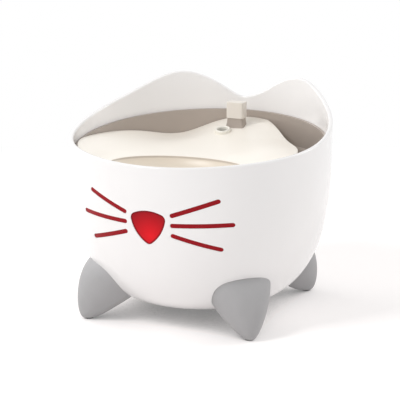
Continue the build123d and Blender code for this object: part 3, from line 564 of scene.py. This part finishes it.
def light_room(scene, stage):
    """A white room, whose light on the fountain is softer than its look."""
    world = bpy.data.worlds.new("room")
    scene.world = world
    finish = Finish(world)
    soft = finish.node("ShaderNodeBackground", None, {"Strength": stage.ambient, "Color": rgba(WHITE)})
    white = finish.node("ShaderNodeBackground", None, {"Strength": 1.0, "Color": rgba(WHITE)})
    shown = finish.node("ShaderNodeMixShader", None,
                        {0: seen_rays(finish), 1: soft.outputs[0], 2: white.outputs[0]})
    finish.node("ShaderNodeOutputWorld", None, {"Surface": shown.outputs[0]})


def hang_lamp(name, power, width, place, target):
    """A square lamp that points at a target."""
    lamp = bpy.data.lights.new(name, "AREA")
    lamp.shape = "SQUARE"
    lamp.size = width
    lamp.energy = power
    held = bpy.data.objects.new(name, lamp)
    held.location = place
    held.rotation_euler = (target - place).to_track_quat("-Z", "Y").to_euler()
    held.visible_camera = False
    bpy.context.scene.collection.objects.link(held)


def hang_lamps(stage):
    """Lamps all at one distance from the middle of the fountain."""
    target = Vector(LAMP_TARGET)
    for name, lamp in LAMPS.items():
        turn, tilt = radians(lamp["turn"]), radians(lamp["tilt"])
        flat = LAMP_DISTANCE * cos(tilt)
        away = Vector((flat * cos(turn), flat * sin(turn), LAMP_DISTANCE * sin(tilt)))
        hang_lamp(name, getattr(stage, lamp["power"]), lamp["width"], target + away, target)


def aim_camera(scene, stage):
    """Look at the fountain from its front right, a little above."""
    towards = Vector((sin(stage.camera_turn) * cos(stage.camera_tilt),
                      -cos(stage.camera_turn) * cos(stage.camera_tilt), sin(stage.camera_tilt)))
    camera = bpy.data.cameras.new("camera")
    camera.lens = stage.lens_length
    camera.sensor_width = SENSOR_WIDTH
    camera.shift_x = CAMERA_SHIFT
    held = bpy.data.objects.new("camera", camera)
    held.location = Vector((0.0, 0.0, stage.camera_height)) + towards * stage.camera_distance
    held.rotation_euler = (-towards).to_track_quat("-Z", "Y").to_euler()
    scene.collection.objects.link(held)
    scene.camera = held
    scene.view_settings.view_transform = "Standard"


# ---- operators --------------------------------------------------------------------------------
class FOUNTAIN_OT_shell(bpy.types.Operator):
    """Finish the bowl shell"""
    bl_idname = "fountain.shell"
    bl_label = "Bowl Shell"

    def execute(self, context):
        colours = context.scene.fountain_colours
        dress(gloss_shell("shell_finish", colours.shell, roughness=0.14), "bowl_shell")
        return {"FINISHED"}


class FOUNTAIN_OT_tub(bpy.types.Operator):
    """Finish the reservoir tub"""
    bl_idname = "fountain.tub"
    bl_label = "Reservoir Tub"

    def execute(self, context):
        colours = context.scene.fountain_colours
        dress(satin_plastic("tub_finish", colours.tub, roughness=0.36), "reservoir_tub")
        return {"FINISHED"}


class FOUNTAIN_OT_face(bpy.types.Operator):
    """Finish the nose, the whiskers and the lamps behind them"""
    bl_idname = "fountain.face"
    bl_label = "Face Lenses"

    def execute(self, context):
        colours = context.scene.fountain_colours
        face = context.scene.fountain_face
        dress(lit_lens("nose_finish", colours, face, glow_share=1.0), "nose_lens")
        dress(lit_lens("whisker_finish", colours, face, glow_share=0.6), "whisker_lens_left",
              "whisker_lens_right")
        dress(satin_plastic("light_box_finish", colours.lamp, roughness=0.5), "light_box")
        dress(gloss_shell("led_finish", colours.led, roughness=0.1), "face_leds")
        return {"FINISHED"}


class FOUNTAIN_OT_feet(bpy.types.Operator):
    """Finish the feet and their pads"""
    bl_idname = "fountain.feet"
    bl_label = "Feet"

    def execute(self, context):
        colours = context.scene.fountain_colours
        dress(soft_rubber("foot_finish", colours.foot), "foot_front_left", "foot_front_right",
              "foot_rear_left", "foot_rear_right")
        dress(soft_rubber("pad_finish", colours.pad, roughness=0.7), "foot_pads")
        return {"FINISHED"}


class FOUNTAIN_OT_tray(bpy.types.Operator):
    """Finish the drinking tray"""
    bl_idname = "fountain.tray"
    bl_label = "Drinking Tray"

    def execute(self, context):
        scene = context.scene
        dress(tray_plastic("tray_finish", scene.fountain_colours, scene.fountain_tray, roughness=0.34),
              "drinking_tray")
        return {"FINISHED"}


class FOUNTAIN_OT_grip(bpy.types.Operator):
    """Finish the outlet ring and the grip post"""
    bl_idname = "fountain.grip"
    bl_label = "Outlet and Grip"

    def execute(self, context):
        colours = context.scene.fountain_colours
        dress(satin_plastic("ring_finish", colours.ring, roughness=0.3), "outlet_ring")
        dress(satin_plastic("cap_finish", colours.cap, roughness=0.32), "post_cap")
        dress(satin_plastic("post_finish", colours.tub, roughness=0.32), "post_base")
        return {"FINISHED"}


class FOUNTAIN_OT_electrics(bpy.types.Operator):
    """Finish the boards, the port, the probes, the screws and the seals"""
    bl_idname = "fountain.electrics"
    bl_label = "Electrics and Fasteners"

    def execute(self, context):
        colours = context.scene.fountain_colours
        dress(circuit_finish("board_finish", colours, roughness=0.35), "led_board", "control_board")
        dress(brushed_metal("steel_finish", colours.steel, roughness=0.3), "foot_screws",
              "led_board_screws", "level_probes", "control_board_screws", "post_screw")
        dress(soft_rubber("seal_finish", colours.seal), "probe_grommets", "port_bezel", "riser_seal",
              "shaft_bushes", "suction_cups")
        dress(satin_plastic("port_finish", colours.port, roughness=0.45), "power_port")
        return {"FINISHED"}


class FOUNTAIN_OT_filter(bpy.types.Operator):
    """Finish the filter and the riser"""
    bl_idname = "fountain.filter"
    bl_label = "Filter"

    def execute(self, context):
        colours = context.scene.fountain_colours
        dress(satin_plastic("filter_frame_finish", colours.filter_frame, roughness=0.42),
              "filter_housing", "filter_lid", "riser_tube")
        dress(open_foam("foam_finish", colours.foam, roughness=0.9), "filter_foam")
        dress(carbon_felt("carbon_finish", colours.carbon, roughness=0.85), "carbon_filter")
        return {"FINISHED"}


class FOUNTAIN_OT_pump(bpy.types.Operator):
    """Finish the pump and its motor"""
    bl_idname = "fountain.pump"
    bl_label = "Pump"

    def execute(self, context):
        colours = context.scene.fountain_colours
        dress(satin_plastic("pump_finish", colours.pump, roughness=0.5, grain=0.9 * MM,
                            relief=0.04 * MM), "pump_housing", "pump_end_plate", "flow_dial")
        dress(satin_plastic("pump_cover_finish", colours.pump_pale, roughness=0.45), "intake_cover",
              "impeller")
        dress(laminated_iron("iron_finish", colours.iron, roughness=0.45), "stator_core")
        dress(wound_wire("coil_finish", colours.copper, roughness=0.3), "stator_coil")
        dress(satin_plastic("magnet_finish", colours.magnet, roughness=0.4), "rotor_magnet")
        dress(gloss_shell("shaft_finish", colours.ceramic, roughness=0.12), "impeller_shaft")
        return {"FINISHED"}


class FOUNTAIN_OT_stage(bpy.types.Operator):
    """Set up the floor, the lamps and the camera"""
    bl_idname = "fountain.stage"
    bl_label = "Stage"

    def execute(self, context):
        stage = context.scene.fountain_stage
        lay_floor(stage)
        light_room(context.scene, stage)
        hang_lamps(stage)
        aim_camera(context.scene, stage)
        return {"FINISHED"}


# ---- panel and registration -------------------------------------------------------------------
OPERATORS = (FOUNTAIN_OT_shell, FOUNTAIN_OT_tub, FOUNTAIN_OT_face, FOUNTAIN_OT_feet, FOUNTAIN_OT_tray,
             FOUNTAIN_OT_grip, FOUNTAIN_OT_electrics, FOUNTAIN_OT_filter, FOUNTAIN_OT_pump,
             FOUNTAIN_OT_stage)
SETTINGS = {"fountain_colours": FountainColours, "fountain_tray": FountainTray,
            "fountain_face": FountainFace, "fountain_stage": FountainStage}


class FOUNTAIN_PT_panel(bpy.types.Panel):
    """The fountain's pieces and settings"""
    bl_idname = "FOUNTAIN_PT_panel"
    bl_label = "Pet Water Fountain"
    bl_space_type = "VIEW_3D"
    bl_region_type = "UI"
    bl_category = "Fountain"

    def draw(self, context):
        for operator in OPERATORS:
            self.layout.operator(operator.bl_idname)
        for name, group in SETTINGS.items():
            box = self.layout.box()
            for setting in group.__annotations__:
                box.prop(getattr(context.scene, name), setting)


CLASSES = (*SETTINGS.values(), *OPERATORS, FOUNTAIN_PT_panel)


def register():
    """Add the settings, the operators and the panel."""
    for listed in CLASSES:
        bpy.utils.register_class(listed)
    for name, group in SETTINGS.items():
        setattr(bpy.types.Scene, name, PointerProperty(type=group))


def unregister():
    """Take away what register added."""
    for name in SETTINGS:
        delattr(bpy.types.Scene, name)
    for listed in reversed(CLASSES):
        bpy.utils.unregister_class(listed)


def main():
    """Register the add-on, then run each operator in order: every finish, then the stage."""
    register()
    for operator in OPERATORS:
        group, name = operator.bl_idname.split(".")
        getattr(getattr(bpy.ops, group), name)()


if __name__ == "__main__":
    main()
